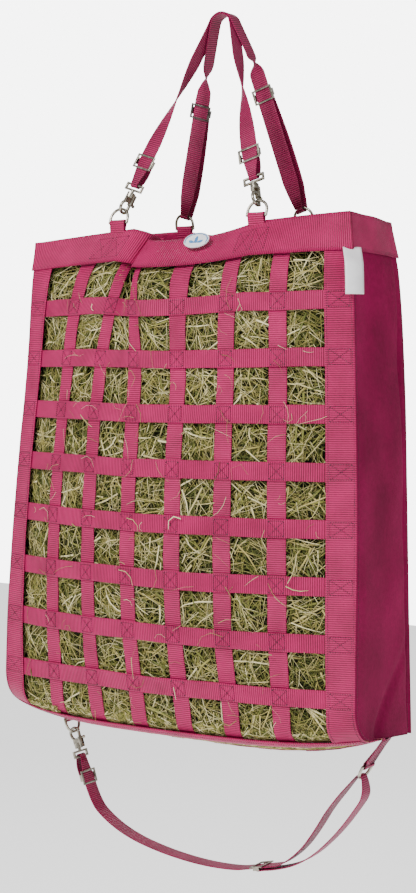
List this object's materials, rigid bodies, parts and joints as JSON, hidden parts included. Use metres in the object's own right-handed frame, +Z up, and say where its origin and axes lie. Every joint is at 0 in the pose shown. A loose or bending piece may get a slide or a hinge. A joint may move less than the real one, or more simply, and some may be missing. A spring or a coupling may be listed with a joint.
{
  "type": "webbing hay net",
  "caption": "Flat-sided hay net of crossed webbing with canvas sides, hung by crossing straps with swivel snaps, and a clip-on strap below.",
  "frame": {"origin": "on the axis of the hook or rail that the hanging straps pass over", "axes": "+Z up, the net's front faces -Y, +X to the right seen from the front"},
  "size_m": [0.58, 0.2922, 1.2188],
  "materials": {
    "net_webbing": "woven flat webbing, sewn with box and cross stitching",
    "hanger_webbing": "woven flat webbing, darker and glossier",
    "canvas": "heavy plain weave canvas",
    "hay": "packed dry grass stalks",
    "badge_enamel": "plain oval badge",
    "satin_label": "plain satin ribbon",
    "spring_wire": "coiled spring wire",
    "snap_metal": "nickel plated cast zinc",
    "ring_wire": "nickel plated welded wire",
    "slide_metal": "nickel plated pressed steel"
  },
  "bodies": {
    "root": {"front_cross_strap_1": "net_webbing", "front_cross_strap_2": "net_webbing", "front_cross_strap_3": "net_webbing", "front_cross_strap_4": "net_webbing", "front_cross_strap_5": "net_webbing", "front_cross_strap_6": "net_webbing", "front_cross_strap_7": "net_webbing", "front_cross_strap_8": "net_webbing", "front_upright_strap_1": "net_webbing", "front_upright_strap_2": "net_webbing", "front_upright_strap_3": "net_webbing", "front_upright_strap_4": "net_webbing", "front_upright_strap_5": "net_webbing", "front_upright_strap_6": "net_webbing", "back_cross_straps": "net_webbing", "back_upright_straps": "net_webbing", "top_band_front": "net_webbing", "top_band_back": "net_webbing", "border_straps": "net_webbing", "lower_edge_straps": "net_webbing", "side_panel_left": "canvas", "side_panel_right": "canvas", "top_band_sides": "net_webbing", "floor_straps": "net_webbing", "hay_fill": "hay", "hanging_strap_inner": "hanger_webbing", "hanging_strap_outer": "hanger_webbing", "snap_end_loops": "hanger_webbing", "ring_end_layers": "hanger_webbing", "snap_eye_left": "snap_metal", "snap_eye_right": "snap_metal", "ring_tabs_top": "net_webbing", "ring_tabs_lower": "net_webbing", "badge": "badge_enamel", "care_label": "satin_label"},
    "lower_strap": {"lower_strap": "hanger_webbing", "lower_ring_layer": "hanger_webbing", "lower_snap_loop": "hanger_webbing", "snap_eye_lower": "snap_metal"},
    "ring_front_left": {"d_ring_front_left": "ring_wire"},
    "ring_front_right": {"d_ring_front_right": "ring_wire"},
    "ring_back_left": {"d_ring_back_left": "ring_wire"},
    "ring_back_right": {"d_ring_back_right": "ring_wire"},
    "ring_lower_left": {"d_ring_lower_left": "ring_wire"},
    "ring_lower_right": {"d_ring_lower_right": "ring_wire"},
    "snap_left": {"snap_body_left": "snap_metal", "snap_spring_left": "spring_wire"},
    "gate_left": {"snap_gate_left": "snap_metal"},
    "snap_right": {"snap_body_right": "snap_metal", "snap_spring_right": "spring_wire"},
    "gate_right": {"snap_gate_right": "snap_metal"},
    "snap_lower": {"snap_body_lower": "snap_metal", "snap_spring_lower": "spring_wire"},
    "gate_lower": {"snap_gate_lower": "snap_metal"},
    "keeper_slide_left": {"keeper_slide_left": "slide_metal"},
    "keeper_slide_right": {"keeper_slide_right": "slide_metal"},
    "tri_glide_left": {"tri_glide_left": "slide_metal"},
    "tri_glide_right": {"tri_glide_right": "slide_metal"},
    "lower_keeper_slide": {"lower_keeper_slide": "slide_metal"},
    "lower_tri_glide": {"lower_tri_glide": "slide_metal"}
  },
  "joints": [
    {"name": "ring_front_left_hinge", "type": "hinge", "parent": "root", "child": "ring_front_left", "pos_m": [-0.116, -0.09841, -0.278], "axis": [1, 0, 0], "range_deg": [-6, 6]},
    {"name": "ring_front_right_hinge", "type": "hinge", "parent": "root", "child": "ring_front_right", "pos_m": [0.116, -0.09841, -0.278], "axis": [1, 0, 0], "range_deg": [-6, 6]},
    {"name": "ring_back_left_hinge", "type": "hinge", "parent": "root", "child": "ring_back_left", "pos_m": [-0.103, 0.04881, -0.278], "axis": [1, 0, 0], "range_deg": [-4, 4]},
    {"name": "ring_back_right_hinge", "type": "hinge", "parent": "root", "child": "ring_back_right", "pos_m": [0.103, 0.04881, -0.278], "axis": [1, 0, 0], "range_deg": [-4, 4]},
    {"name": "ring_lower_left_hinge", "type": "hinge", "parent": "root", "child": "ring_lower_left", "pos_m": [-0.256, -0.036, -1.018], "axis": [0, 1, 0], "range_deg": [-5, 5]},
    {"name": "ring_lower_right_hinge", "type": "hinge", "parent": "root", "child": "ring_lower_right", "pos_m": [0.256, -0.036, -1.018], "axis": [0, 1, 0], "range_deg": [-3, 3]},
    {"name": "snap_left_swivel", "type": "hinge", "parent": "root", "child": "snap_left", "pos_m": [-0.11001, -0.09039, -0.25535], "axis": [0.3154, 0.3167, 0.8946], "range_deg": [-12, 12]},
    {"name": "gate_left_bolt", "type": "slide", "parent": "snap_left", "child": "gate_left", "axis": [0.3154, 0.3167, 0.8946], "range_m": [0, 0.0065], "stiffness_N_per_m": 250, "springref_m": -0.002, "deforming": ["snap_spring_left"]},
    {"name": "snap_right_swivel", "type": "hinge", "parent": "root", "child": "snap_right", "pos_m": [0.11001, -0.09039, -0.25535], "axis": [-0.3154, 0.3167, 0.8946], "range_deg": [-12, 12]},
    {"name": "gate_right_bolt", "type": "slide", "parent": "snap_right", "child": "gate_right", "axis": [-0.3154, 0.3167, 0.8946], "range_m": [0, 0.0065], "stiffness_N_per_m": 250, "springref_m": -0.002, "deforming": ["snap_spring_right"]},
    {"name": "snap_lower_swivel", "type": "hinge", "parent": "lower_strap", "child": "snap_lower", "pos_m": [-0.24795, -0.036, -1.04167], "axis": [0.3219, 0, -0.9468], "range_deg": [-12, 12]},
    {"name": "gate_lower_bolt", "type": "slide", "parent": "snap_lower", "child": "gate_lower", "axis": [0.3219, 0, -0.9468], "range_m": [0, 0.0065], "stiffness_N_per_m": 250, "springref_m": -0.002, "deforming": ["snap_spring_lower"]},
    {"name": "keeper_slide_left_adjust", "type": "slide", "parent": "root", "child": "keeper_slide_left", "axis": [0.3164, 0.3224, 0.8921], "range_m": [-0.004, 0.004]},
    {"name": "keeper_slide_right_adjust", "type": "slide", "parent": "root", "child": "keeper_slide_right", "axis": [-0.3238, 0.3222, 0.8896], "range_m": [-0.004, 0.004]},
    {"name": "tri_glide_left_adjust", "type": "slide", "parent": "root", "child": "tri_glide_left", "axis": [0.2958, -0.1431, 0.9445], "range_m": [-0.004, 0.004]},
    {"name": "tri_glide_right_adjust", "type": "slide", "parent": "root", "child": "tri_glide_right", "axis": [-0.2731, -0.1179, 0.9547], "range_m": [-0.004, 0.004]},
    {"name": "lower_keeper_slide_adjust", "type": "slide", "parent": "lower_strap", "child": "lower_keeper_slide", "axis": [0.2941, 0, -0.9558], "range_m": [-0.004, 0.004]},
    {"name": "lower_tri_glide_adjust", "type": "slide", "parent": "lower_strap", "child": "lower_tri_glide", "axis": [-0.9686, 0, -0.2487], "range_m": [-0.004, 0.004]},
    {"name": "lower_strap_swing", "type": "hinge", "parent": "root", "child": "lower_strap", "pos_m": [-0.24924, -0.036, -1.03788], "axis": [1, 0, 0.0025], "range_deg": [-5, 5]}
  ]
}
